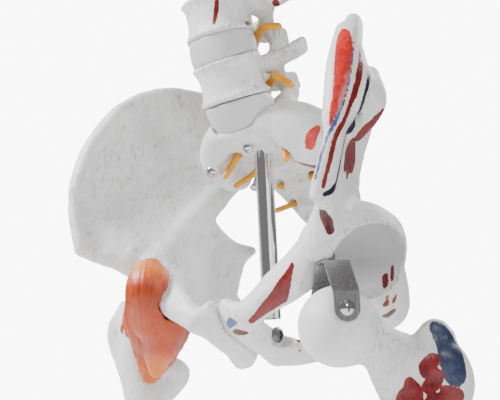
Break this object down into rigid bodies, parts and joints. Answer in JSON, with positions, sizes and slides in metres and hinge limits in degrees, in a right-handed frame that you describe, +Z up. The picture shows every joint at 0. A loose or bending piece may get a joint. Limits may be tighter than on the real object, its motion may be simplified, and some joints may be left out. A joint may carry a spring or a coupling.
{
  "type": "human skeleton model, pelvic and hip section",
  "caption": "Life-size lumbosacral, pelvic and hip section of a teaching skeleton with painted muscle areas, nerve stubs, a hip ligament and a chromed stand socket.",
  "frame": {"origin": "centre of the lower mouth of the chromed stand-socket tube", "axes": "+X to the skeleton's left, +Y to its back, +Z up along the socket tube"},
  "size_m": [0.283, 0.1326, 0.3671],
  "materials": {
    "bone": "matt off-white bone-textured hard PVC",
    "cartilage": "matt soft PVC",
    "disc": "smooth grey elastomer",
    "nerve": "yellow-orange soft PVC",
    "cord": "pale yellow soft PVC",
    "cable": "black plastic-covered flexible core",
    "ligament": "translucent orange fibrous silicone",
    "chrome": "bright polished plating",
    "steel": "zinc-plated screw steel",
    "strap": "satin stainless strip"
  },
  "bodies": {
    "pelvis": {"hip_bone_left": "bone", "hip_bone_right": "bone", "sacrum": "bone", "coccyx": "bone", "pubic_symphysis": "cartilage", "symphysis_screw": "steel", "socket_set_screw": "steel", "stand_socket_tube": "chrome", "sacroiliac_screw_upper_right": "steel", "sacroiliac_screw_lower_left": "steel", "sacroiliac_screw_lower_right": "steel", "sacral_nerves_left": "nerve", "sacral_nerves_right": "nerve", "hip_swivel_bolt_left": "steel", "lumbosacral_disc": "disc", "spinal_cord": "cord", "spine_core_cable": "cable", "hip_ligament_right": "ligament"},
    "lumbar_5": {"lumbar_5_vertebra": "bone", "lumbar_5_nerves": "nerve", "disc_lumbar_4_5": "disc"},
    "lumbar_4": {"lumbar_4_vertebra": "bone", "lumbar_4_nerves": "nerve"},
    "hip_strap": {"hip_strap_left": "strap", "hip_axle_left": "steel", "hip_axle_nut_left": "steel"},
    "femur_left": {"femur_left": "bone"},
    "femur_right": {"femur_right": "bone"}
  },
  "joints": [
    {"name": "lumbosacral_flex", "type": "hinge", "parent": "pelvis", "child": "lumbar_5", "pos_m": [0, -0.019, 0.138], "axis": [1, 0, 0], "range_deg": [-4, 6], "stiffness_Nm_per_rad": 8, "deforming": ["lumbosacral_disc", "spinal_cord", "spine_core_cable"]},
    {"name": "lumbar_4_5_flex", "type": "hinge", "parent": "lumbar_5", "child": "lumbar_4", "pos_m": [0, -0.0334, 0.1768], "axis": [1, 0, 0], "range_deg": [-4, 6], "stiffness_Nm_per_rad": 8, "deforming": ["disc_lumbar_4_5"]},
    {"name": "left_hip_swivel", "type": "hinge", "parent": "pelvis", "child": "hip_strap", "pos_m": [0.088, -0.038, 0.024], "axis": [0, 0, 1], "range_deg": [-20, 20]},
    {"name": "left_hip_swing", "type": "hinge", "parent": "hip_strap", "child": "femur_left", "pos_m": [0.088, -0.038, -0.003], "axis": [0.848, -0.53, 0], "range_deg": [-15, 25]},
    {"name": "right_hip_swing", "type": "hinge", "parent": "pelvis", "child": "femur_right", "pos_m": [-0.0873, -0.0128, 0.033], "axis": [1, 0, 0], "range_deg": [-12, 8], "stiffness_Nm_per_rad": 0.6, "deforming": ["hip_ligament_right"]}
  ]
}
